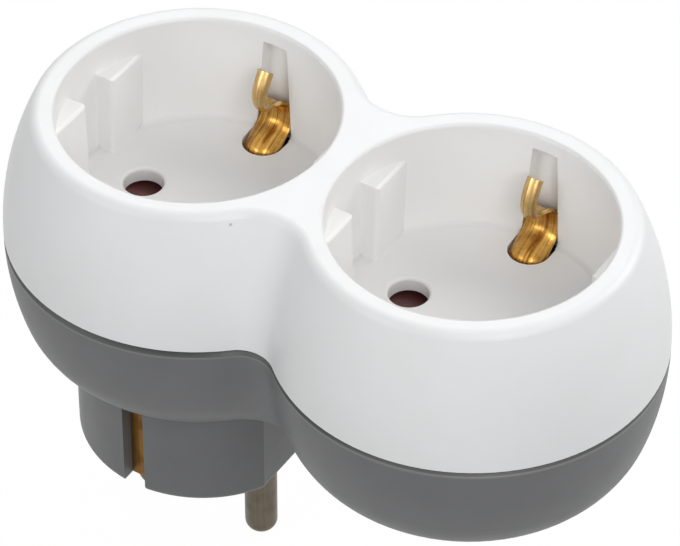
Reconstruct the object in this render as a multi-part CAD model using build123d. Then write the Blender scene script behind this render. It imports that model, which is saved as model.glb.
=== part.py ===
from build123d import *
import os
from math import cos, radians, sin, sqrt, tan

# Two way socket adapter: an earthed round plug carries a white and grey housing with two sockets.
# The origin is the middle of the plug's end face, between its pins. +Z points out of the sockets
# and +X from the socket over the plug to the second one. All sizes are millimetres.

# Standard sizes of the plug and the sockets
socket_pitch = 43.6
pin_spacing = 19.0
pin_r = 2.4
pin_length = 18.0
pin_tip_round = 1.9
plug_r = 18.3
plug_flat = 16.0
plug_height = 16.5
plug_edge_round = 1.3
recess_depth = 17.5
recess_mouth_r = 19.7
recess_draft = 0.45
recess_floor_r = recess_mouth_r - recess_draft
mouth_round = 0.5
recess_floor_round = 0.8

# Housing
body_height = 41.0
upper_height = 20.35
rim_spread = 7.8
lobe_r = recess_mouth_r + rim_spread
upper_side_r = 45.0
lower_side_r = 43.0
underside_share = 0.9365
lip_round = 1.6
neck_r = 5.0
neck_growth = 3.0
outline_steps = 5
wall = 2.2
floor_t = 2.2
cup_wall = 1.8
seam_gap = 0.5
seam_bevel = 0.4
tongue_height = 2.0
tongue_t = 1.0
fit_gap = 0.1
press_gap = 0.03

# Recess details
rib_depth = 2.8
rib_face = recess_floor_r - rib_depth
rib_drop = 4.6
rib_round = 0.6
groove_half_low = 2.6
groove_half_top = 3.15
hole_r = 2.85
hole_round = 0.5
window_w = 6.1
window_run = 6.05
window_reach = recess_floor_r - window_run
clip_slot_narrowing = 1.1
clip_slot_depth = 2.0
clip_slot_drop = 2.4
clip_slot_wall = 1.5

# Shutter, its spring and the carrier under it
shutter_gap = 0.3
shutter_t = 2.4
shutter_r = 13.0
shutter_hub_r = 5.8
shutter_half_angle = 22.0
shutter_corner = 1.0
shutter_ramp_angle = 12.0
journal_r = 3.4
journal_gap = 0.06
wire_r = 0.22
spring_turns = 2.5
spring_pitch = 0.55
spring_leg = 0.9
leg_hole_r = 0.4
carrier_t = 2.4
carrier_length = 31.0
carrier_width = 25.0
carrier_corner = 5.0
spring_pocket_depth = 1.7
spring_pocket_gap = 0.66
chamber_size = 10.4
chamber_wall = 1.0

# Screws and their towers
screw_r = 1.45
screw_head_r = 2.8
screw_head_h = 2.0
screw_sink = 3.5
screw_tip_gap = 0.3
screw_slot_w = 0.8
screw_slot_depth = 1.1
screw_slot_reach = 1.75
tower_r = 4.1
spigot_r = 2.3
spigot_length = 1.6

# Live parts
rail_t = 0.8
rail_w = 3.0
rail_offset = 7.4
tongue_r = 3.3
tail_r = 1.6
rivet_head_r = 2.3
rivet_head_h = 0.5
collar_r = 2.9
contact_t = 0.55
contact_base_r = 3.4
contact_grip_r = 2.3
contact_mouth_r = 3.5
contact_slit_w = 0.8
contact_slit_share = 0.2
contact_base_share = 0.3
contact_grip_start_share = 0.62
contact_grip_end_share = 0.8

# Earth parts
earth_t = 0.8
crossbar_w = 4.2
crossbar_ring_r = 3.75
upright_inset = 1.75
upright_y = window_reach + upright_inset
strip_bend = 1.2
strip_overlap = 0.3
strip_arch_share = 0.03
clip_sections = 36
strap_y = 9.8
strap_w = 4.0
earth_rivet_r = 1.25
earth_rivet_head_r = 2.0
plug_slot_w = 3.5
plug_slot_depth = 2.9
plug_slot_round = 1.0
plug_strip_w = plug_slot_w - 2 * fit_gap
plug_strip_start = 0.8

# Stations of a clip's arched strip, from under the floor to its tip. Each has its distance from the
# window's end as a share of the window's run, its height over the floor and its heading from +Y in
# degrees, then its half width as a share of the window's, its arch as a share of its own half width
# and its thickness as a share of the bracket's.
clip_stations = (
    (0.200, -4.8, 92, 0.75, 0.17, 1.0),
    (0.125, -3.0, 92, 0.85, 0.46, 1.0),
    (0.070, -1.4, 84, 0.93, 0.67, 1.0),
    (0.090, -0.2, 68, 0.93, 0.70, 1.0),
    (0.215, 0.6, 46, 0.93, 0.67, 1.0),
    (0.430, 1.1, 26, 0.92, 0.55, 1.0),
    (0.660, 1.5, 18, 0.90, 0.42, 1.0),
    (0.850, 1.95, 36, 0.885, 0.32, 1.0),
    (0.960, 2.8, 72, 0.86, 0.21, 1.0),
    (0.990, 3.8, 90, 0.825, 0.17, 1.0),
    (0.980, 4.75, 97, 0.79, 0.17, 0.94),
    (0.917, 5.35, 140, 0.67, 0.22, 0.81),
    (0.777, 5.5, 178, 0.525, 0.44, 0.69),
    (0.610, 5.5, 178, 0.435, 0.70, 0.62),
    (0.430, 5.9, 148, 0.41, 0.80, 0.62),
    (0.290, 6.9, 118, 0.41, 0.80, 0.62),
    (0.218, 8.2, 97, 0.41, 0.80, 0.62),
    (0.228, 9.6, 80, 0.41, 0.80, 0.62),
    (0.330, 11.1, 64, 0.41, 0.80, 0.62),
    (0.520, 12.8, 56, 0.41, 0.80, 0.62),
)

# Heights worked out from the sizes above
rim_z = plug_height + body_height
parting_z = rim_z - upper_height
floor_z = rim_z - recess_depth
floor_under_z = floor_z - floor_t
inner_floor_z = plug_height + wall
shutter_top_z = floor_under_z - shutter_gap
shutter_under_z = shutter_top_z - shutter_t
carrier_top_z = shutter_under_z - shutter_gap
carrier_under_z = carrier_top_z - carrier_t
crossbar_under_z = carrier_under_z - earth_t
strap_under_z = crossbar_under_z - earth_t
shoulder_z = carrier_top_z - spring_pocket_depth
rail_top_z = inner_floor_z + rail_t
contact_base_z = rail_top_z + contact_t
screw_seat_z = plug_height + screw_sink
screw_top_z = floor_under_z - screw_tip_gap
pin_x = pin_spacing / 2
socket_centres = (0.0, socket_pitch)
match_gap = 0.01
line_ends = (-pin_x, socket_pitch - pin_x)
neutral_ends = (pin_x, socket_pitch + pin_x)


def box_between(x0, x1, y0, y1, z0, z1):
    """A block between two corners."""
    return Pos((x0 + x1) / 2, (y0 + y1) / 2, (z0 + z1) / 2) * Box(x1 - x0, y1 - y0, z1 - z0)


def rod(radius, z0, z1, x=0.0, y=0.0):
    """An upright cylinder between two heights."""
    return Pos(x, y, (z0 + z1) / 2) * Cylinder(radius, z1 - z0)


def band(points, thickness, bend):
    """Side view of a bent strip of even thickness, from the corners of its middle line."""
    count = len(points)
    turns = []
    headings = []
    for (x0, y0), (x1, y1) in zip(points, points[1:]):
        length = sqrt((x1 - x0) ** 2 + (y1 - y0) ** 2)
        headings.append(((x1 - x0) / length, (y1 - y0) / length))
    for (ax, ay), (bx, by) in zip(headings, headings[1:]):
        turns.append(ax * by - ay * bx)
    edges = []
    for side in (thickness / 2, -thickness / 2):
        corners = []
        for index, (x, y) in enumerate(points):
            ax, ay = headings[max(index - 1, 0)]
            bx, by = headings[min(index, count - 2)]
            share = side / (1 + ax * bx + ay * by)
            corners.append((x - (ay + by) * share, y + (ax + bx) * share))
        radii = [bend - side if turn > 0 else bend + side for turn in turns]
        edges.append(FilletPolyline(*corners, radius=radii))
    left, right = edges
    ends = [Line(left @ 0, right @ 0), Line(left @ 1, right @ 1)]
    return make_face(Curve() + [left, right] + ends)


def lobe_radius(z):
    """Outside radius of each barrel shaped lobe at a height."""
    side_r = upper_side_r if z > parting_z else lower_side_r
    return lobe_r - side_r + sqrt(side_r**2 - (z - parting_z) ** 2)


def neck_radius(z):
    """Radius of the hollow that joins the lobes, gentler away from the parting line."""
    span = rim_z - parting_z if z > parting_z else parting_z - plug_height
    return neck_r + neck_growth * ((z - parting_z) / span) ** 2


def neck_centre(z):
    """How far from the middle line the neck's hollows have their centres at a height."""
    return sqrt((lobe_radius(z) + neck_radius(z)) ** 2 - (socket_pitch / 2) ** 2)


def underside_round():
    """Radius of the round under the body, which both the neck's half width and the shell's height bound."""
    half_width = neck_centre(plug_height) - neck_radius(plug_height)
    height = parting_z - plug_height
    return underside_share * (half_width**-4 + height**-4) ** -0.25


def body_outline(z, inset):
    """Plan outline of the body at a height: two lobe arcs and two neck arcs."""
    lobe = lobe_radius(z) - inset
    neck = neck_radius(z) + inset
    half = socket_pitch / 2
    neck_y = neck_centre(z)
    share = lobe / (lobe + neck)
    near_x = half * share
    far_x = socket_pitch - near_x
    touch_y = neck_y * share
    waist = neck_y - neck
    with BuildSketch(Plane.XY.offset(z)) as outline:
        with BuildLine():
            ThreePointArc((near_x, touch_y), (-lobe, 0), (near_x, -touch_y))
            ThreePointArc((near_x, -touch_y), (half, -waist), (far_x, -touch_y))
            ThreePointArc((far_x, -touch_y), (socket_pitch + lobe, 0), (far_x, touch_y))
            ThreePointArc((far_x, touch_y), (half, waist), (near_x, touch_y))
        make_face()
    return outline.sketch


def body_between(z0, z1, inset=0.0):
    """Lofted body between two heights, set in from the outside by a wall."""
    steps = outline_steps - 1
    heights = [z0 + (z1 - z0) * step / steps for step in range(outline_steps)]
    return loft([body_outline(z, inset) for z in heights])


def top_edges(solid):
    """The outline of a solid's highest flat face."""
    return solid.faces().sort_by(Axis.Z)[-1].outer_wire().edges()


def bottom_edges(solid):
    """The outline of a solid's lowest flat face."""
    return solid.faces().sort_by(Axis.Z)[0].outer_wire().edges()


def on_both_sockets(one):
    """A shape at the first socket and its copy at the second."""
    return one + Pos(socket_pitch, 0, 0) * one


def both_sides(one):
    """A shape on the +Y side and its mirror image."""
    return one + mirror(one, Plane.XZ)


def recess_space():
    """The round space that a plug goes into, with its rounded mouth."""
    taper = loft(
        [
            Pos(0, 0, floor_z) * Circle(recess_floor_r),
            Pos(0, 0, rim_z) * Circle(recess_mouth_r),
        ]
    )
    taper = fillet(bottom_edges(taper), recess_floor_round)
    flare = Pos(0, 0, rim_z - mouth_round / 2) * Cylinder(recess_mouth_r + mouth_round, mouth_round)
    ring = Pos(0, 0, rim_z - mouth_round) * Torus(recess_mouth_r + mouth_round, mouth_round)
    return taper + (flare - ring)


def guide_ribs():
    """Four ribs with flat faces, in pairs on the +X and -X walls, with a drafted groove between."""
    rib_top = rim_z - rib_drop
    half_chord = sqrt(recess_mouth_r**2 - rib_face**2)
    segment = Circle(recess_mouth_r + cup_wall / 2) & Pos(rib_face + plug_r / 2, 0) * Rectangle(
        plug_r, 2 * half_chord
    )
    block = extrude(Pos(0, 0, floor_z - floor_t / 2) * segment, rib_top - floor_z + floor_t / 2)
    groove = loft(
        [
            Pos(rib_face, 0, floor_z - floor_t) * Rectangle(plug_r, 2 * groove_half_low),
            Pos(rib_face, 0, rib_top) * Rectangle(plug_r, 2 * groove_half_top),
        ]
    )
    pair = block - groove
    face_edges = [
        edge
        for edge in pair.edges()
        if abs(edge.center().X - rib_face) < match_gap
        and edge.center().Z > floor_z - floor_t / 4
        and abs(edge.center().Y) < half_chord - rib_round
    ]
    pair = fillet(face_edges, rib_round)
    return pair + mirror(pair, Plane.YZ)


def clip_slots():
    """Slots in the recess wall and floor that the earth clips stand in, on +Y and -Y."""
    depth = recess_floor_r + clip_slot_depth - rib_face
    middle_y = rib_face + depth / 2
    groove = loft(
        [
            Pos(0, middle_y, floor_under_z) * Rectangle(window_w, depth),
            Pos(0, middle_y, rim_z - clip_slot_drop) * Rectangle(window_w - 2 * clip_slot_narrowing, depth),
        ]
    )
    end_y = window_reach + window_w / 2
    window = rod(window_w / 2, floor_under_z, floor_z, y=end_y) + box_between(
        -window_w / 2, window_w / 2, end_y, recess_floor_r, floor_under_z, floor_z
    )
    return both_sides(groove + window)


def slot_backs():
    """Blocks outside a recess wall that its clip slots are cut into."""
    back = recess_floor_r + clip_slot_depth + clip_slot_wall
    half = window_w / 2 + clip_slot_wall
    return both_sides(box_between(-half, half, rib_face, back, floor_under_z, rim_z))


def pin_hole(x):
    """One pin hole through the floor, with a softened upper edge."""
    hole = rod(hole_r, floor_under_z, floor_z, x)
    flare = rod(hole_r + hole_round, floor_z - hole_round, floor_z, x)
    ring = Pos(x, 0, floor_z - hole_round) * Torus(hole_r + hole_round, hole_round)
    return hole + (flare - ring)


def centre_post():
    """Post under the floor: a journal for the shutter, a spigot and a pilot hole for the screw."""
    post = rod(journal_r, shoulder_z, floor_under_z + floor_t / 2)
    spigot = rod(spigot_r, crossbar_under_z - spigot_length, shoulder_z)
    return post + spigot


def upper_housing():
    """White upper shell with both recesses."""
    skirt_z = parting_z + seam_gap / 2
    outer = body_between(skirt_z, rim_z)
    outer = fillet(top_edges(outer), lip_round)
    cavity = body_between(skirt_z, rim_z - wall, wall)
    rabbet = body_between(skirt_z, parting_z + tongue_height + fit_gap, wall - tongue_t - fit_gap)
    cups = on_both_sockets(rod(recess_mouth_r + cup_wall, floor_under_z, rim_z))
    shell = outer - (cavity - cups - on_both_sockets(slot_backs()))
    shell = shell - (rabbet - cups - on_both_sockets(slot_backs()))
    ribs = on_both_sockets(guide_ribs())
    holes = on_both_sockets(pin_hole(-pin_x) + pin_hole(pin_x))
    pilot_top_z = screw_top_z + press_gap
    pilot = rod(screw_r - press_gap, crossbar_under_z - spigot_length, pilot_top_z)
    shell = shell - on_both_sockets(recess_space()) + ribs
    shell = shell - on_both_sockets(clip_slots()) - holes
    return shell + on_both_sockets(centre_post()) - on_both_sockets(pilot)


def plug_boss():
    """Outside of the plug: a cylinder with two flats and a rounded end edge."""
    side_cut = Rectangle(2 * plug_flat, 2 * plug_r)
    boss = extrude(Circle(plug_r) & side_cut, inner_floor_z)
    return fillet(bottom_edges(boss), plug_edge_round)


def plug_hollow():
    """Space inside the plug, round its pin tubes, screw tower and earth slots."""
    hollow = extrude(
        Pos(0, 0, wall + plug_edge_round / 2)
        * (Circle(plug_r - wall) & Rectangle(2 * (plug_flat - wall), 2 * plug_r)),
        inner_floor_z,
    )
    tube_r = collar_r + cup_wall
    tubes = rod(tube_r, 0, inner_floor_z, pin_x) + rod(tube_r, 0, inner_floor_z, -pin_x)
    web = box_between(-plug_flat, plug_flat, -cup_wall / 2, cup_wall / 2, 0, inner_floor_z)
    half = plug_slot_w / 2 + cup_wall
    channel = box_between(-half, half, plug_r - plug_slot_depth - cup_wall, plug_r, 0, inner_floor_z)
    return hollow - tubes - web - both_sides(channel) - rod(tower_r, 0, inner_floor_z)


def earth_slots():
    """Slots down the plug's +Y and -Y sides, and the passages of the earth strips above them."""
    back_y = plug_r - plug_slot_depth
    half = plug_slot_w / 2
    slot = box_between(-half, half, back_y, plug_r + wall, 0, plug_height)
    flare_w = half + plug_slot_round
    flare = box_between(-flare_w, flare_w, back_y, plug_r + wall, 0, plug_slot_round)
    for x in (-flare_w, flare_w):
        corner = Pos(x, plug_r, plug_slot_round) * Rot(90, 0, 0) * Cylinder(plug_slot_round, 2 * plug_r)
        flare = flare - corner
    slot = slot + flare
    passage = box_between(
        -half, half, back_y, back_y + earth_t + fit_gap, plug_height, inner_floor_z + wall
    )
    return both_sides(slot + passage)


def rail_channels():
    """Shallow channels that the rails lie in where the floor curves up beside them."""
    line = rail_plan(*line_ends, rail_offset, fit_gap)
    neutral = rail_plan(*neutral_ends, -rail_offset, fit_gap)
    return extrude(Pos(0, 0, inner_floor_z) * (line + neutral), tower_r)


def tower_bore(mouth_z):
    """Screw hole up a tower: a head counterbore, the shank's clearance and the post's seat."""
    head_room = rod(screw_head_r + fit_gap, mouth_z, screw_seat_z)
    shank = rod(screw_r + fit_gap, screw_seat_z, crossbar_under_z)
    seat = rod(spigot_r + fit_gap, crossbar_under_z - spigot_length - fit_gap, crossbar_under_z)
    return head_room + shank + seat


def pin_seat(x):
    """Hole through the plug for one pin's thicker upper part."""
    return rod(collar_r + press_gap, 0, inner_floor_z, x)


def lower_housing():
    """Grey lower shell with the plug moulded on."""
    lip_z = parting_z - seam_gap / 2
    outer = body_between(plug_height, lip_z)
    outer = chamfer(top_edges(outer), seam_bevel)
    outer = fillet(bottom_edges(outer), underside_round())
    cavity = body_between(inner_floor_z, lip_z, wall)
    cavity = fillet(bottom_edges(cavity), underside_round() - wall)
    tongue = body_between(lip_z - wall, parting_z + tongue_height, wall - tongue_t)
    tongue_inside = body_between(lip_z - wall, parting_z + tongue_height, wall)
    shell = outer + plug_boss() + (tongue - tongue_inside)
    towers = on_both_sockets(rod(tower_r, plug_height, crossbar_under_z))
    shell = shell - cavity - plug_hollow() - rail_channels() + towers
    shell = shell - tower_bore(0) - Pos(socket_pitch, 0, 0) * tower_bore(plug_height)
    for x in (line_ends[1], neutral_ends[1]):
        shell = shell - rod(rivet_head_r + fit_gap, inner_floor_z - rivet_head_h, inner_floor_z, x)
    return shell - earth_slots() - pin_seat(pin_x) - pin_seat(-pin_x)


def plug_pin(x):
    """Solid round pin: a thick part held in the plug and a tail riveted over its rail."""
    free = fillet(bottom_edges(rod(pin_r, -pin_length, 0, x)), pin_tip_round)
    tail = rod(tail_r, inner_floor_z, contact_base_z, x)
    head = rod(rivet_head_r, contact_base_z, contact_base_z + rivet_head_h, x)
    return free + rod(collar_r, 0, inner_floor_z, x) + tail + head


def rail_plan(first_x, second_x, offset, margin=0.0):
    """Plan of a rail: a bar beside the pins with a round ended tongue to each of its two pins."""
    middle = (first_x + second_x) / 2
    end_r = tongue_r + margin
    length = second_x - first_x + 2 * end_r
    plan = Pos(middle, offset) * Rectangle(length, rail_w + 2 * margin)
    for x in (first_x, second_x):
        plan = plan + Pos(x, offset / 2) * Rectangle(2 * end_r, abs(offset))
        plan = plan + Pos(x, 0) * Circle(end_r)
    return plan


def rail(first_x, second_x, offset):
    """Stamped rail that links a plug pin with the same side of the second socket."""
    plan = rail_plan(first_x, second_x, offset)
    for x in (first_x, second_x):
        plan = plan - Pos(x, 0) * Circle(tail_r + press_gap)
    return extrude(Pos(0, 0, inner_floor_z) * plan, rail_t)


def pin_contact(x):
    """Turned contact with four spring leaves that grip a plug's pin."""
    top_z = carrier_under_z - fit_gap
    height = top_z - rail_top_z
    grip = contact_grip_r + contact_t / 2
    base = contact_base_r - contact_t / 2
    corners = [
        (tail_r + press_gap, rail_top_z + contact_t / 2),
        (base, rail_top_z + contact_t / 2),
        (base, rail_top_z + contact_base_share * height),
        (grip, rail_top_z + contact_grip_start_share * height),
        (grip, rail_top_z + contact_grip_end_share * height),
        (contact_mouth_r, top_z),
    ]
    body = revolve(Plane.XZ * band(corners, contact_t, contact_t), axis=Axis.Z)
    slit_z = rail_top_z + contact_slit_share * height
    slit = box_between(
        -contact_base_r, contact_base_r, -contact_slit_w / 2, contact_slit_w / 2, slit_z, top_z + contact_t
    )
    return Pos(x, 0, 0) * (body - slit - Rot(0, 0, 90) * slit)


def contact_rivet(x):
    """Rivet that holds a contact of the second socket on its rail."""
    low = rod(rivet_head_r, inner_floor_z - rivet_head_h, inner_floor_z, x)
    top = rod(rivet_head_r, contact_base_z, contact_base_z + rivet_head_h, x)
    return low + rod(tail_r, inner_floor_z, contact_base_z, x) + top


def contact_carrier():
    """Insulating plate under the shutter, with a chamber round each contact."""
    plate = Pos(0, 0, carrier_under_z) * RectangleRounded(carrier_length, carrier_width, carrier_corner)
    carrier = extrude(plate, carrier_t)
    chamber_low = rail_top_z + fit_gap
    for x in (-pin_x, pin_x):
        outer = Pos(x, 0, chamber_low) * RectangleRounded(chamber_size, chamber_size, chamber_wall)
        inner_size = chamber_size - 2 * chamber_wall
        inner = Pos(x, 0, chamber_low) * Rectangle(inner_size, inner_size)
        carrier = carrier + extrude(outer - inner, carrier_under_z - chamber_low)
        carrier = carrier - rod(hole_r + fit_gap, carrier_under_z, carrier_top_z, x)
    pocket_r = spring_coil_r() + wire_r + spring_pocket_gap
    carrier = carrier - rod(pocket_r, shoulder_z, carrier_top_z)
    carrier = carrier - rod(spigot_r + fit_gap, carrier_under_z, shoulder_z)
    return carrier


def shutter():
    """Turning disc segment pair that covers both pin holes, with a ramp for each pin."""
    reach = 2 * shutter_r
    side = reach * tan(radians(shutter_half_angle))
    wedge = make_face(Polyline((0, 0), (reach, side), (reach, -side), (0, 0)))
    arms = Circle(shutter_r) & (wedge + mirror(wedge, Plane.YZ))
    plan = arms + Circle(shutter_hub_r)
    body = extrude(Pos(0, 0, shutter_under_z) * plan, shutter_t)
    corners = [
        edge
        for edge in body.edges().filter_by(Axis.Z)
        if edge.center().X ** 2 + edge.center().Y ** 2 > (shutter_r - shutter_corner) ** 2
    ]
    body = fillet(corners, shutter_corner)
    drop = shutter_r * tan(radians(shutter_ramp_angle))
    ramp = Plane.YZ.offset(shutter_hub_r + shutter_corner) * make_face(
        Polyline((0, 0), (-shutter_r, 0), (-shutter_r, -drop), (0, 0))
    )
    cut = Pos(0, 0, shutter_top_z) * extrude(ramp, shutter_r)
    body = body - cut - Rot(0, 0, 180) * cut
    leg = rod(leg_hole_r, shutter_under_z, shutter_under_z + spring_leg, spring_coil_r())
    return body - rod(journal_r + journal_gap, shutter_under_z, shutter_top_z) - leg


def spring_coil_r():
    """Mean radius of the shutter spring's coils round the journal."""
    return journal_r + journal_gap + 2 * wire_r


def shutter_spring():
    """Torsion spring round the journal, with one leg up into the shutter."""
    coil_r = spring_coil_r()
    height = spring_turns * spring_pitch
    start_z = shoulder_z + wire_r + press_gap
    path = Helix(spring_pitch, height, coil_r)
    section = Plane(origin=path @ 0, z_dir=path % 0) * Circle(wire_r)
    coil = Pos(0, 0, start_z) * Rot(0, 0, -360 * spring_turns) * sweep(section, path, is_frenet=True)
    top_z = start_z + height
    leg = rod(wire_r, top_z, shutter_under_z + spring_leg - wire_r, coil_r)
    return coil + leg + Pos(coil_r, 0, top_z) * Sphere(wire_r)


def crescent(y, z, heading, half_w, arch, thickness):
    """Section of an arched strip whose front passes a point on the middle plane at a heading."""
    turn = radians(heading)
    outer_r = (half_w**2 + arch**2) / (2 * arch)
    share = (outer_r - thickness) / outer_r
    back = outer_r + (arch - outer_r) * share
    outer = ThreePointArc((-half_w, arch), (0, 0), (half_w, arch))
    inner = ThreePointArc((half_w * share, back), (0, thickness), (-half_w * share, back))
    face = make_face([outer, Line(outer @ 1, inner @ 0), inner, Line(inner @ 1, outer @ 0)])
    return Plane(origin=(0, y, z), x_dir=(1, 0, 0), z_dir=(0, cos(turn), sin(turn))) * face


def clip():
    """Arched strip of one clip: up through the window, a ramp, the wall slot and a sprung tongue."""
    start_z = carrier_under_z + strip_bend
    low_w = crossbar_w / 2
    stations = [
        (upright_y - earth_t / 2, start_z, 90, low_w, strip_arch_share * low_w, earth_t)
    ]
    for run, height, heading, width, arch, thickness in clip_stations:
        half_w = width * window_w / 2
        point = (window_reach + run * window_run, floor_z + height)
        stations.append((*point, heading, half_w, arch * half_w, thickness * earth_t))
    path = Spline(*[station[:2] for station in stations])
    places = [path.param_at_point(station[:2]) for station in stations]
    sections = []
    index = 0
    for step in range(clip_sections):
        place = step / (clip_sections - 1)
        while index < len(stations) - 2 and places[index + 1] < place:
            index += 1
        share = (place - places[index]) / (places[index + 1] - places[index])
        ends = zip(stations[index][2:], stations[index + 1][2:])
        shape = [low + (high - low) * share for low, high in ends]
        point = path @ place
        sections.append(crescent(point.X, point.Y, *shape))
    return loft(sections)


def clip_foot():
    """Flat strip from the middle of the bracket out to a clip, with the bend up to it."""
    middle = carrier_under_z - earth_t / 2
    top = carrier_under_z + strip_bend + strip_overlap
    corners = [(0, middle), (upright_y, middle), (upright_y, top)]
    return extrude(Plane.YZ * band(corners, earth_t, strip_bend), crossbar_w / 2, both=True)


def earth_bracket():
    """One stamped bracket per socket: a crossbar under the carrier and two spring clips."""
    ring = rod(crossbar_ring_r, crossbar_under_z, carrier_under_z)
    bracket = both_sides(clip_foot() + clip()) + ring
    bracket = bracket - rod(spigot_r + fit_gap, crossbar_under_z, carrier_under_z)
    holes = both_sides(rod(earth_rivet_r + press_gap, crossbar_under_z, carrier_under_z, y=strap_y))
    return bracket - holes


def earth_strap():
    """Flat strap that joins both brackets on their +Y side."""
    end = strap_w / 2
    bar = Pos(socket_pitch / 2, strap_y) * SlotOverall(socket_pitch + 2 * end, strap_w)
    for x in socket_centres:
        bar = bar - Pos(x, strap_y) * Circle(earth_rivet_r + press_gap)
    return extrude(Pos(0, 0, strap_under_z) * bar, earth_t)


def plug_earth_strip(tab_top_z):
    """Contact strip in the plug's earth slot, with a tab under the bracket, on the +Y side."""
    strip_y = plug_r - plug_slot_depth + earth_t / 2
    tab_z = tab_top_z - earth_t / 2
    corners = [
        (strip_y, plug_strip_start),
        (strip_y, tab_z),
        (strap_y, tab_z),
    ]
    strip = extrude(Plane.YZ * band(corners, earth_t, strip_bend), plug_strip_w / 2, both=True)
    strip = strip + rod(strap_w / 2, tab_top_z - earth_t, tab_top_z, y=strap_y)
    return strip - rod(earth_rivet_r + press_gap, tab_z - earth_t, tab_z + earth_t, y=strap_y)


def earth_rivet(x, y, layers):
    """Rivet flush with the crossbar's top, with its head under the layers that it joins."""
    low_z = carrier_under_z - layers * earth_t
    shank = rod(earth_rivet_r, low_z, carrier_under_z, x, y)
    return shank + rod(earth_rivet_head_r, low_z - rivet_head_h, low_z, x, y)


def housing_screw(x):
    """Screw with a round head and a cross recess, driven from below."""
    shank = rod(screw_r - 2 * press_gap, screw_seat_z, screw_top_z, x)
    head_low = screw_seat_z - screw_head_h
    head = fillet(bottom_edges(rod(screw_head_r, head_low, screw_seat_z, x)), screw_head_h / 2)
    arm = screw_slot_reach
    half = screw_slot_w / 2
    low_z = head_low
    top_z = head_low + screw_slot_depth
    cross = box_between(x - arm, x + arm, -half, half, low_z, top_z)
    cross = cross + box_between(x - half, x + half, -arm, arm, low_z, top_z)
    return head + shank - cross


def save(name, *solids):
    """Write one sub-part as a STEP file."""
    shape = solids[0] if len(solids) == 1 else Compound(children=list(solids))
    export_step(shape, os.path.join("parts", name + ".step"))


def main():
    """Build every sub-part and write it."""
    os.makedirs("parts", exist_ok=True)
    save("upper_housing", upper_housing())
    save("lower_housing", lower_housing())
    save("plug_pin_line", plug_pin(-pin_x))
    save("plug_pin_neutral", plug_pin(pin_x))
    save("line_rail", rail(*line_ends, rail_offset))
    save("neutral_rail", rail(*neutral_ends, -rail_offset))
    for number, centre in enumerate(socket_centres, start=1):
        move = Pos(centre, 0, 0)
        save(f"pin_contact_line_{number}", pin_contact(centre - pin_x))
        save(f"pin_contact_neutral_{number}", pin_contact(centre + pin_x))
        save(f"contact_carrier_{number}", move * contact_carrier())
        save(f"shutter_{number}", move * shutter())
        save(f"shutter_spring_{number}", move * shutter_spring())
        save(f"earth_bracket_{number}", move * earth_bracket())
    save("contact_rivets", contact_rivet(line_ends[1]), contact_rivet(neutral_ends[1]))
    save("earth_strap", earth_strap())
    save("plug_earth_strip_back", plug_earth_strip(strap_under_z))
    save("plug_earth_strip_front", mirror(plug_earth_strip(crossbar_under_z), Plane.XZ))
    save(
        "earth_rivets",
        earth_rivet(0, strap_y, 3),
        earth_rivet(0, -strap_y, 2),
        earth_rivet(socket_pitch, strap_y, 2),
    )
    save("housing_screws", *[housing_screw(centre) for centre in socket_centres])


main()
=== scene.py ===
"""Dresses a two way socket adapter and sets it up for a studio picture.

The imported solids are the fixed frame, and nothing here adds to their shapes or moves them. Each
sub-assembly is a class that finishes its own pieces. Lengths and places are in millimetres, and MM
turns them into metres. A span holds the two values between which a smooth step runs.
"""

import logging
import math
from abc import ABC, abstractmethod
from dataclasses import dataclass
from enum import Enum
from typing import Any, Dict, Mapping, Optional, Sequence, Tuple, Union

import bpy
from mathutils import Matrix, Vector

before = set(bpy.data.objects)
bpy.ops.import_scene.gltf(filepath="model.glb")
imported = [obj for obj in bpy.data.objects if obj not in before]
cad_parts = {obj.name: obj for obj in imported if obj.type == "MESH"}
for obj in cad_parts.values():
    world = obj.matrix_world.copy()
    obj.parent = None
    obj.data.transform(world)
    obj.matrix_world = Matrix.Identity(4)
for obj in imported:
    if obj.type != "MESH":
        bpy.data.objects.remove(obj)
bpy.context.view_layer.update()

Colour = Tuple[float, float, float]
Point = Tuple[float, float, float]
Span = Tuple[float, float]

LOG = logging.getLogger("socket_adapter")
MM = 0.001
WHITE: Colour = (1.0, 1.0, 1.0)
NOISE_MIDDLE = 0.5


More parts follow.
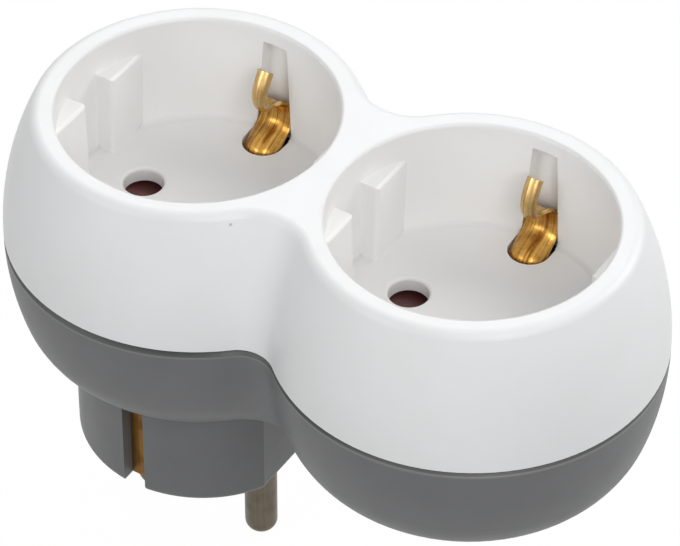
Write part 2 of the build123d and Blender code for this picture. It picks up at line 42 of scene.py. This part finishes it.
@dataclass(frozen=True)
class Signal:
    """An output socket of a shader node that can be used in arithmetic."""

    bench: "Bench"
    socket: bpy.types.NodeSocket

    def _math(self, operation: str, *values: "Value") -> "Signal":
        """Adds one Math node.

        Args:
            operation: The name of the Math node's operation.
            values: The numbers or signals of its sockets, in order.

        Returns:
            The node's result.
        """
        settings = {"operation": operation}
        return self.bench.node("ShaderNodeMath", settings, dict(enumerate(values)))

    def __add__(self, other: "Value") -> "Signal":
        """Sum."""
        return self._math("ADD", self, other)

    def __radd__(self, other: "Value") -> "Signal":
        """Sum with a number on the left."""
        return self._math("ADD", other, self)

    def __sub__(self, other: "Value") -> "Signal":
        """Difference."""
        return self._math("SUBTRACT", self, other)

    def __rsub__(self, other: "Value") -> "Signal":
        """Difference from a number on the left."""
        return self._math("SUBTRACT", other, self)

    def __mul__(self, other: "Value") -> "Signal":
        """Product."""
        return self._math("MULTIPLY", self, other)

    def __rmul__(self, other: "Value") -> "Signal":
        """Product with a number on the left."""
        return self._math("MULTIPLY", other, self)

    def __pow__(self, other: "Value") -> "Signal":
        """Power."""
        return self._math("POWER", self, other)

    def __abs__(self) -> "Signal":
        """Absolute value."""
        return self._math("ABSOLUTE", self)

    def least(self, other: "Value") -> "Signal":
        """The smaller of this and another value."""
        return self._math("MINIMUM", self, other)

    def above(self, low: float, high: float) -> "Signal":
        """A smooth step.

        Args:
            low: The value at which the step starts, with result 0.
            high: The value at which it ends, with result 1.

        Returns:
            The step between 0 and 1.
        """
        settings = {"interpolation_type": "SMOOTHSTEP"}
        inputs = {"Value": self, "From Min": low, "From Max": high, "To Min": 0.0, "To Max": 1.0}
        return self.bench.node("ShaderNodeMapRange", settings, inputs)

    def below(self, low: float, high: float) -> "Signal":
        """The reverse of above."""
        return 1.0 - self.above(low, high)

    def beside(self, output: Union[int, str]) -> "Signal":
        """Another output of the same node."""
        return Signal(self.bench, self.socket.node.outputs[output])


Value = Union[float, Colour, Signal]


class Bench:
    """The node tree of one material or world."""

    def __init__(self, owner: Union[bpy.types.Material, bpy.types.World]) -> None:
        """Empties the owner's node tree.

        Args:
            owner: The material or world that the nodes belong to.
        """
        self.owner = owner
        self.owner.use_nodes = True
        self.tree = self.owner.node_tree
        self.tree.nodes.clear()

    @classmethod
    def material(cls, name: str) -> "Bench":
        """Makes a bench for a new material.

        Args:
            name: The material's name.

        Returns:
            The bench.
        """
        return cls(bpy.data.materials.new(name))

    def node(
        self,
        kind: str,
        settings: Optional[Mapping[str, Any]] = None,
        inputs: Optional[Mapping[Union[int, str], Any]] = None,
        output: Union[int, str] = 0,
    ) -> Signal:
        """Adds a node, sets it up and links it.

        Args:
            kind: The node's type.
            settings: Its own settings, such as a Math node's operation.
            inputs: The values or signals of its sockets, by number or name.
            output: The socket that the result reads.

        Returns:
            The chosen output.
        """
        made = self.tree.nodes.new(kind)
        for key, value in (settings or {}).items():
            setattr(made, key, value)
        for key, value in (inputs or {}).items():
            socket = made.inputs[key]
            if isinstance(value, Signal):
                self.tree.links.new(value.socket, socket)
            elif socket.type == "RGBA":
                socket.default_value = (*value, 1.0)
            else:
                socket.default_value = value
        return Signal(self, made.outputs[output])

    def place(self, scale: Point = (1.0, 1.0, 1.0)) -> Signal:
        """Object coordinates in millimetres.

        Args:
            scale: How many pattern units a millimetre holds along each axis.

        Returns:
            The coordinates.
        """
        raw = self.node("ShaderNodeTexCoord", output="Object")
        inputs = {"Vector": raw, "Scale": tuple(part / MM for part in scale)}
        return self.node("ShaderNodeMapping", inputs=inputs)

    def axes(self) -> Tuple[Signal, Signal, Signal]:
        """The three object coordinates, in millimetres."""
        split = self.node("ShaderNodeSeparateXYZ", inputs={"Vector": self.place()})
        return split, split.beside("Y"), split.beside("Z")

    def noise(self, where: Signal, scale: float, detail: float, roughness: float) -> Signal:
        """A noise from 0 to 1.

        Args:
            where: The coordinates.
            scale: The pattern's scale on them.
            detail: The number of octaves.
            roughness: The weight of the finer octaves.

        Returns:
            The noise.
        """
        inputs = {"Vector": where, "Scale": scale, "Detail": detail, "Roughness": roughness}
        return self.node("ShaderNodeTexNoise", inputs=inputs)

    def mix(self, factor: Value, first: Value, second: Value) -> Signal:
        """A colour between two colours.

        Args:
            factor: The share of the second colour.
            first: The first colour.
            second: The second colour.

        Returns:
            The mixed colour.
        """
        # The Mix node has a set of sockets for each type of data, all under the same names.
        share, colour_a, colour_b, colour_result = 0, 6, 7, 2
        inputs = {share: factor, colour_a: first, colour_b: second}
        return self.node("ShaderNodeMix", {"data_type": "RGBA"}, inputs, colour_result)

    def bump(
        self,
        height: Signal,
        depth_mm: float,
        strength: float = 1.0,
        under: Optional[Signal] = None,
    ) -> Signal:
        """A bumped normal.

        Args:
            height: The height, from 0 to 1.
            depth_mm: How deep a height of 1 is.
            strength: The bump's strength.
            under: A bumped normal that this one adds to.

        Returns:
            The normal.
        """
        inputs: Dict[Union[int, str], Any] = {
            "Strength": strength,
            "Distance": depth_mm * MM,
            "Height": height,
        }
        if under is not None:
            inputs["Normal"] = under
        return self.node("ShaderNodeBump", inputs=inputs)

    def finish(self, inputs: Mapping[str, Any]) -> bpy.types.Material:
        """Ends the tree in one Principled shader.

        Args:
            inputs: The shader's sockets.

        Returns:
            The material.
        """
        return self.surface(self.node("ShaderNodeBsdfPrincipled", inputs=inputs))

    def surface(self, shader: Signal) -> Union[bpy.types.Material, bpy.types.World]:
        """Ends the tree in a shader that is already made.

        Args:
            shader: The shader.

        Returns:
            The material or world.
        """
        kind = "World" if isinstance(self.owner, bpy.types.World) else "Material"
        made = self.tree.nodes.new(f"ShaderNodeOutput{kind}")
        self.tree.links.new(shader.socket, made.inputs["Surface"])
        return self.owner


class Layer(ABC):
    """A tone that lies over a plastic's own colour."""

    @abstractmethod
    def over(self, bench: Bench, tint: Signal) -> Signal:
        """Lays the tone over a colour.

        Args:
            bench: The material's bench.
            tint: The colour under the tone.

        Returns:
            The colour with the tone on it.
        """


@dataclass(frozen=True)
class Dust(Layer):
    """Small specks that lie in a few patches of a surface."""

    colour: Colour = (0.25, 0.24, 0.23)
    share: float = 0.55
    spacing_mm: float = 9.0
    speck_span: Span = (0.015, 0.03)
    patch_scale: float = 0.11
    patch_span: Span = (0.6, 0.66)

    def over(self, bench: Bench, tint: Signal) -> Signal:
        """Lays the specks over a colour.

        Args:
            bench: The material's bench.
            tint: The colour under the tone.

        Returns:
            The colour with the tone on it.
        """
        where = bench.place()
        cells = {"Vector": where, "Scale": 1.0 / self.spacing_mm, "Randomness": 1.0}
        specks = bench.node("ShaderNodeTexVoronoi", inputs=cells).below(*self.speck_span)
        patches = bench.noise(where, self.patch_scale, detail=0.0, roughness=0.5)
        dots = specks * patches.above(*self.patch_span)
        return bench.mix(dots * self.share, tint, self.colour)


@dataclass(frozen=True)
class SeamShade(Layer):
    """Painted shade for the shadow in the step under the upper shell's edge, and a painted
    highlight for the lower shell's edge line below it.

    The painted shade narrows towards the second socket.
    """

    # The colour of the painted shade under the upper shell's edge.
    painted_shade: Colour
    # The colour of the painted highlight on the lower shell's edge line.
    light: Colour
    highlight_share: float = 0.75
    top_z: float = 36.9
    wide_mm: float = 0.57
    narrow_mm: float = 0.24
    narrows_over_x: Span = (0.0, 45.0)
    # The width of the painted highlight line.
    line_mm: float = 0.36
    blend_mm: float = 0.10

    def over(self, bench: Bench, tint: Signal) -> Signal:
        """Lays the painted shade and the painted highlight line over a colour.

        Args:
            bench: The material's bench.
            tint: The colour under the tone.

        Returns:
            The colour with the tone on it.
        """
        along, _, height = bench.axes()
        narrowed = along.above(*self.narrows_over_x)
        edge = self.top_z - self.wide_mm + narrowed * (self.wide_mm - self.narrow_mm)
        over_edge = height - edge
        # The edge line is a painted highlight, and the band over it is painted shade.
        line = over_edge.above(-self.line_mm - self.blend_mm, -self.line_mm)
        shade_band = over_edge.above(-self.blend_mm, 0.0)
        return bench.mix(shade_band, bench.mix(line * self.highlight_share, tint, self.light), self.painted_shade)


@dataclass(frozen=True)
class RecessTone(Layer):
    """Painted warm bounce light inside the recesses, and painted shade in the corner between their
    floor and wall.
    """

    # The colour of the painted warm bounce light inside the recesses.
    painted_warm_light: Colour
    # The colour of the painted shade in the corner between floor and wall.
    painted_corner_shade: Colour
    socket_pitch_mm: float = 43.6
    slot_r_mm: float = 21.4
    slot_blend_mm: float = 0.3
    wall_r_mm: float = 19.25
    rim_z: float = 57.5
    rim_blend_mm: Span = (0.6, 0.2)
    floor_z: float = 40.0
    floor_blend_mm: Span = (1.5, 1.0)
    corner_blend_mm: Span = (0.24, 0.88)

    def over(self, bench: Bench, tint: Signal) -> Signal:
        """Lays the painted warm bounce light and the painted corner shade over a colour.

        Args:
            bench: The material's bench.
            tint: The colour under the tone.

        Returns:
            The colour with the tone on it.
        """
        along, across, height = bench.axes()
        aside = abs(along).least(abs(along - self.socket_pitch_mm))
        reach = (aside * aside + across * across) ** 0.5
        under_rim = height.below(*(self.rim_z - depth for depth in self.rim_blend_mm))
        over_floor = height.above(*(self.floor_z - depth for depth in self.floor_blend_mm))
        within = reach.below(self.slot_r_mm, self.slot_r_mm + self.slot_blend_mm)
        inside = within * (under_rim * over_floor)
        # The corner mask places painted shade where the recess floor meets its wall.
        near, far = self.corner_blend_mm
        low = height.below(self.floor_z + near, self.floor_z + far)
        outer = reach.above(self.wall_r_mm - far, self.wall_r_mm - near)
        # The recesses take the painted warm light, and their corners the painted shade.
        return bench.mix(inside * low * outer, bench.mix(inside, tint, self.painted_warm_light), self.painted_corner_shade)


@dataclass(frozen=True)
class MouldedPlastic:
    """A moulded plastic with a fine eroded texture, faint flow marks and tones laid over it."""

    name: str
    colour: Colour
    shade: Colour
    roughness: float
    roughness_swing: float = 0.10
    ior: float = 1.5
    flow_mm: float = 14.0
    clouds_per_flow: float = 3.2
    cloud_share: float = 0.3
    shade_span: Span = (0.3, 0.72)
    texture_mm: float = 0.16
    texture_depth_mm: float = 0.006
    coarse_scale: float = 0.3
    coarse_share: float = 0.3
    layers: Tuple[Layer, ...] = ()

    def make(self) -> bpy.types.Material:
        """Builds the material.

        Returns:
            The material.
        """
        bench = Bench.material(self.name)
        where = bench.place()
        flow = bench.noise(where, 1.0 / self.flow_mm, detail=2.0, roughness=0.45)
        cloud_scale = self.clouds_per_flow / self.flow_mm
        cloud = bench.noise(where, cloud_scale, detail=3.0, roughness=0.55)
        marks = flow * (1.0 - self.cloud_share) + cloud * self.cloud_share
        tint = bench.mix(marks.above(*self.shade_span), self.colour, self.shade)
        for layer in self.layers:
            tint = layer.over(bench, tint)
        fine = bench.noise(where, 1.0 / self.texture_mm, detail=1.0, roughness=0.5)
        coarse_scale = self.coarse_scale / self.texture_mm
        coarse = bench.noise(where, coarse_scale, detail=2.0, roughness=0.5)
        texture = fine * (1.0 - self.coarse_share) + coarse * self.coarse_share
        inputs = {
            "Base Color": tint,
            "Roughness": self.roughness + (cloud - NOISE_MIDDLE) * self.roughness_swing,
            "Normal": bench.bump(texture, self.texture_depth_mm),
            "IOR": self.ior,
        }
        return bench.finish(inputs)


class Grain(Enum):
    """The fine lines of a metal piece, as the axes along which they change quickly."""

    LENGTHWISE = (True, False, False)
    DRAWN = (True, True, False)
    ROLLED = (False, True, True)
    TURNED = (False, False, True)


@dataclass(frozen=True)
class WorkedMetal:
    """A bare or plated metal with fine grain lines, tarnish patches and small dents.

    Where a painted reflection colour is set, the metal turns to that paler colour over a span of
    heights, with fewer tarnish lines there: a painted reflection of the white walls.
    """

    name: str
    colour: Colour
    tarnish: Colour
    roughness: float
    grain: Grain
    line_mm: float = 0.12
    along_scale: float = 0.06
    line_span: Span = (0.40, 0.66)
    line_share: float = 0.35
    line_depth_mm: float = 0.004
    line_roughness: float = 0.16
    patch_mm: float = 3.0
    patch_span: Span = (0.42, 0.7)
    patch_share: float = 0.5
    patch_roughness: float = 0.10
    dents_per_patch: float = 1.6
    dent_depth_mm: float = 0.05
    dent_strength: float = 0.5
    painted_reflection: Optional[Colour] = None
    reflection_over_z: Span = (44.0, 47.0)
    reflection_share: float = 0.35

    def _lines(self, bench: Bench) -> Signal:
        """The pattern of the grain's lines.

        Args:
            bench: The material's bench.

        Returns:
            A noise that is long along the grain and fine across it.
        """
        across = 1.0 / self.line_mm
        scale = tuple(across if quick else self.along_scale for quick in self.grain.value)
        return bench.noise(bench.place(scale), scale=1.0, detail=3.0, roughness=0.6)

    def make(self) -> bpy.types.Material:
        """Builds the material.

        Returns:
            The material.
        """
        bench = Bench.material(self.name)
        where = bench.place()
        lines = self._lines(bench)
        patches = bench.noise(where, 1.0 / self.patch_mm, detail=3.0, roughness=0.6)
        patches = patches.above(*self.patch_span)
        amount = patches * self.patch_share + lines.above(*self.line_span) * self.line_share
        fresh: Value = self.colour
        # The paler colour over a span of heights is a painted reflection of the white walls.
        if self.painted_reflection is not None:
            _, _, height = bench.axes()
            reflecting = height.above(*self.reflection_over_z)
            fresh = bench.mix(reflecting, self.colour, self.painted_reflection)
            amount = amount * (1.0 - reflecting * self.reflection_share)
        dent_scale = self.dents_per_patch / self.patch_mm
        dents = bench.noise(where, dent_scale, detail=2.0, roughness=0.5)
        lined = bench.bump(lines, self.line_depth_mm)
        rough = self.roughness + lines * self.line_roughness + patches * self.patch_roughness
        inputs = {
            "Base Color": bench.mix(amount.least(1.0), fresh, self.tarnish),
            "Metallic": 1.0,
            "Roughness": rough,
            "Normal": bench.bump(dents, self.dent_depth_mm, self.dent_strength, lined),
        }
        return bench.finish(inputs)


def dress(names: Sequence[str], material: bpy.types.Material) -> None:
    """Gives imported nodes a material.

    Args:
        names: The nodes.
        material: Their material.
    """
    for name in names:
        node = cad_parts[name]
        if not node.material_slots:
            node.data.materials.append(material)
        for slot in node.material_slots:
            slot.material = material
        LOG.info("dressed %s in %s", name, material.name)


@dataclass(frozen=True)
class Housing:
    """The white upper shell with its recesses and the grey lower shell with its plug."""

    white: MouldedPlastic = MouldedPlastic(
        name="white_moulding",
        colour=(0.845, 0.85, 0.86),
        shade=(0.82, 0.825, 0.83),
        roughness=0.42,
        # Painted warm bounce light in the recesses and painted shade in their corners.
        layers=(Dust(), RecessTone(painted_warm_light=(0.85, 0.847, 0.840), painted_corner_shade=(0.735, 0.733, 0.727))),
    )
    grey: MouldedPlastic = MouldedPlastic(
        name="grey_moulding",
        colour=(0.138, 0.140, 0.144),
        shade=(0.126, 0.128, 0.132),
        roughness=0.48,
        texture_depth_mm=0.009,
        layers=(
            Dust(colour=(0.35, 0.34, 0.33)),
            # Painted shade under the upper shell's edge, with a painted highlight line below it.
            SeamShade(painted_shade=(0.078, 0.080, 0.080), light=(0.195, 0.197, 0.192)),
        ),
    )

    def finish(self) -> None:
        """Dresses both shells."""
        dress(["upper_housing"], self.white.make())
        dress(["lower_housing"], self.grey.make())


@dataclass(frozen=True)
class PlugPins:
    """The two solid round pins of the plug."""

    plating: WorkedMetal = WorkedMetal(
        name="dull_nickel",
        colour=(0.150, 0.128, 0.098),
        tarnish=(0.092, 0.075, 0.054),
        roughness=0.30,
        grain=Grain.DRAWN,
        patch_mm=6.0,
    )

    def finish(self) -> None:
        """Dresses both pins."""
        dress(["plug_pin_line", "plug_pin_neutral"], self.plating.make())


@dataclass(frozen=True)
class EarthParts:
    """The sprung clips in the recesses, the strips on the plug and what joins them."""

    bright: WorkedMetal = WorkedMetal(
        name="brushed_brass",
        colour=(0.67, 0.37, 0.090),
        tarnish=(0.165, 0.056, 0.006),
        roughness=0.19,
        grain=Grain.LENGTHWISE,
        line_mm=0.26,
        line_share=0.62,
        patch_mm=2.4,
        patch_share=0.35,
        # A painted reflection of the white walls on the clips' upper tongues.
        painted_reflection=(0.74, 0.51, 0.22),
    )
    # A darker, rougher copy of the brass. The darker colour is painted shade for the strips deep
    # in the plug's slots.
    shade_painted_brass: WorkedMetal = WorkedMetal(
        name="brass_in_painted_shade",
        colour=(0.30, 0.155, 0.040),
        tarnish=(0.13, 0.055, 0.012),
        roughness=0.30,
        grain=Grain.LENGTHWISE,
        patch_mm=2.4,
    )

    def finish(self) -> None:
        """Dresses the clips and strips."""
        clips = ["earth_bracket_1", "earth_bracket_2", "earth_strap", "earth_rivets"]
        dress(clips, self.bright.make())
        # The plug's strips take the darker brass copy, which is painted shade.
        dress(["plug_earth_strip_back", "plug_earth_strip_front"], self.shade_painted_brass.make())


@dataclass(frozen=True)
class LiveParts:
    """The rails, contacts and rivets inside, with the carriers that insulate them."""

    brass: WorkedMetal = WorkedMetal(
        name="plain_brass",
        colour=(0.58, 0.35, 0.11),
        tarnish=(0.30, 0.16, 0.04),
        roughness=0.28,
        grain=Grain.ROLLED,
    )
    carrier: MouldedPlastic = MouldedPlastic(
        name="natural_moulding",
        colour=(0.72, 0.70, 0.64),
        shade=(0.66, 0.64, 0.57),
        roughness=0.5,
    )

    def finish(self) -> None:
        """Dresses the rails, contacts, rivets and carriers."""
        metal = ["line_rail", "neutral_rail", "contact_rivets"]
        for number in (1, 2):
            metal += [f"pin_contact_line_{number}", f"pin_contact_neutral_{number}"]
        dress(metal, self.brass.make())
        dress(["contact_carrier_1", "contact_carrier_2"], self.carrier.make())


@dataclass(frozen=True)
class Shutters:
    """The turning covers under the pin holes, with their springs."""

    maroon: MouldedPlastic = MouldedPlastic(
        name="maroon_moulding",
        colour=(0.120, 0.037, 0.034),
        shade=(0.090, 0.029, 0.027),
        roughness=0.42,
    )
    steel: WorkedMetal = WorkedMetal(
        name="spring_steel",
        colour=(0.46, 0.45, 0.44),
        tarnish=(0.22, 0.21, 0.20),
        roughness=0.30,
        grain=Grain.TURNED,
    )

    def finish(self) -> None:
        """Dresses the shutters and springs."""
        dress(["shutter_1", "shutter_2"], self.maroon.make())
        dress(["shutter_spring_1", "shutter_spring_2"], self.steel.make())


@dataclass(frozen=True)
class Screws:
    """The two screws that are driven from below."""

    zinc: WorkedMetal = WorkedMetal(
        name="zinc_plating",
        colour=(0.55, 0.56, 0.58),
        tarnish=(0.34, 0.34, 0.33),
        roughness=0.32,
        grain=Grain.TURNED,
    )

    def finish(self) -> None:
        """Dresses the screws."""
        dress(["housing_screws"], self.zinc.make())


@dataclass(frozen=True)
class Softbox:
    """A round soft lamp that faces the object."""

    name: str
    azimuth_deg: float
    elevation_deg: float
    power_w: float
    distance_mm: float = 1000.0
    size_mm: float = 600.0


@dataclass(frozen=True)
class Studio:
    """The pale floor, the soft lights and the camera, with the floor at the pins' tips."""

    floor_z: float = -18.0
    floor_size: float = 6000.0
    floor_colour: Colour = (0.45, 0.45, 0.45)
    glow_share: float = 0.95
    glow: float = 1.03
    daylight: float = 0.3
    backdrop: float = 1.0
    lens_mm: float = 215.5
    sensor_mm: float = 36.0
    clip_start_mm: float = 50.0
    clip_end_mm: float = 20000.0
    azimuth_deg: float = 32.03
    elevation_deg: float = 41.50
    roll_deg: float = 0.17
    aim: Point = (27.93, -7.79, 46.37)
    distance: float = 546.9
    lamps: Tuple[Softbox, ...] = (
        Softbox("left_softbox", azimuth_deg=-28.0, elevation_deg=28.0, power_w=2.35),
        Softbox("front_right_softbox", azimuth_deg=50.0, elevation_deg=38.0, power_w=4.0),
        Softbox("right_softbox", azimuth_deg=85.0, elevation_deg=25.0, power_w=0.3),
        Softbox("back_right_softbox", azimuth_deg=150.0, elevation_deg=35.0, power_w=3.8),
        Softbox("rim_softbox", azimuth_deg=212.0, elevation_deg=41.0, power_w=2.7),
    )

    @staticmethod
    def _towards(azimuth_deg: float, elevation_deg: float) -> Vector:
        """A direction from the object.

        Args:
            azimuth_deg: The angle from -Y towards +X.
            elevation_deg: The angle over the horizon.

        Returns:
            The unit vector.
        """
        turn = math.radians(azimuth_deg)
        rise = math.radians(elevation_deg)
        level = math.cos(rise)
        return Vector((math.sin(turn) * level, -math.cos(turn) * level, math.sin(rise)))

    @staticmethod
    def _seen_or_mirrored(bench: Bench) -> Signal:
        """1 for rays from the camera and for mirrored or passing ones, and 0 for the rest.

        Args:
            bench: The bench of the floor or the world.

        Returns:
            The share.
        """
        camera = bench.node("ShaderNodeLightPath", output="Is Camera Ray")
        seen = camera + camera.beside("Is Glossy Ray") + camera.beside("Is Transmission Ray")
        return seen.least(1.0)

    def floor(self) -> None:
        """Adds the floor that the pins stand on."""
        bpy.ops.object.select_all(action="DESELECT")
        size, height = self.floor_size * MM, self.floor_z * MM
        bpy.ops.mesh.primitive_plane_add(size=size, location=(0, 0, height))
        floor = bpy.context.object
        floor.name = "floor"
        bpy.ops.object.transform_apply(location=True, rotation=True, scale=True)
        bench = Bench.material("pale_floor")
        share = self._seen_or_mirrored(bench) * self.glow_share
        plain = bench.node("ShaderNodeBsdfDiffuse", inputs={"Color": self.floor_colour})
        light = {"Color": WHITE, "Strength": self.glow}
        glow = bench.node("ShaderNodeEmission", inputs=light)
        shader = bench.node("ShaderNodeMixShader", inputs={0: share, 1: plain, 2: glow})
        floor.data.materials.append(bench.surface(shader))
        LOG.info("floor")

    def world(self) -> None:
        """Adds the even daylight, which the camera and mirrored rays see as white."""
        world = bpy.data.worlds.new("studio_daylight")
        bench = Bench(world)
        strength = self.daylight + self._seen_or_mirrored(bench) * (self.backdrop - self.daylight)
        inputs = {"Color": WHITE, "Strength": strength}
        bench.surface(bench.node("ShaderNodeBackground", inputs=inputs))
        bpy.context.scene.world = world

    def light(self) -> None:
        """Adds the softboxes."""
        for box in self.lamps:
            data = bpy.data.lights.new(box.name, "AREA")
            data.shape = "DISK"
            data.size = box.size_mm * MM
            data.energy = box.power_w
            lamp = bpy.data.objects.new(box.name, data)
            bpy.context.scene.collection.objects.link(lamp)
            way = self._towards(box.azimuth_deg, box.elevation_deg)
            lamp.location = (Vector(self.aim) + way * box.distance_mm) * MM
            lamp.rotation_euler = (-way).to_track_quat("-Z", "Y").to_euler()
            LOG.info("lamp %s", box.name)

    def camera(self) -> None:
        """Adds the camera where the photographer stood."""
        roll = math.radians(self.roll_deg)
        back = self._towards(self.azimuth_deg, self.elevation_deg)
        level = self._towards(self.azimuth_deg + 90.0, 0.0)
        upright = back.cross(level)
        right = level * math.cos(roll) + upright * math.sin(roll)
        up = upright * math.cos(roll) - level * math.sin(roll)
        data = bpy.data.cameras.new("camera")
        data.lens = self.lens_mm
        data.sensor_width = self.sensor_mm
        data.clip_start = self.clip_start_mm * MM
        data.clip_end = self.clip_end_mm * MM
        camera = bpy.data.objects.new("camera", data)
        bpy.context.scene.collection.objects.link(camera)
        pose = Matrix((right, up, back)).transposed().to_4x4()
        pose.translation = (Vector(self.aim) + back * self.distance) * MM
        camera.matrix_world = pose
        bpy.context.scene.camera = camera
        LOG.info("camera")

    def build(self) -> None:
        """Sets up the whole studio."""
        self.floor()
        self.world()
        self.light()
        self.camera()
        bpy.context.scene.view_settings.view_transform = "Standard"


def main() -> None:
    """Dresses the adapter and sets up the studio."""
    logging.basicConfig(level=logging.INFO, format="%(name)s: %(message)s")
    for assembly in (Housing(), PlugPins(), EarthParts(), LiveParts(), Shutters(), Screws()):
        assembly.finish()
    Studio().build()


if __name__ == "__main__":
    main()
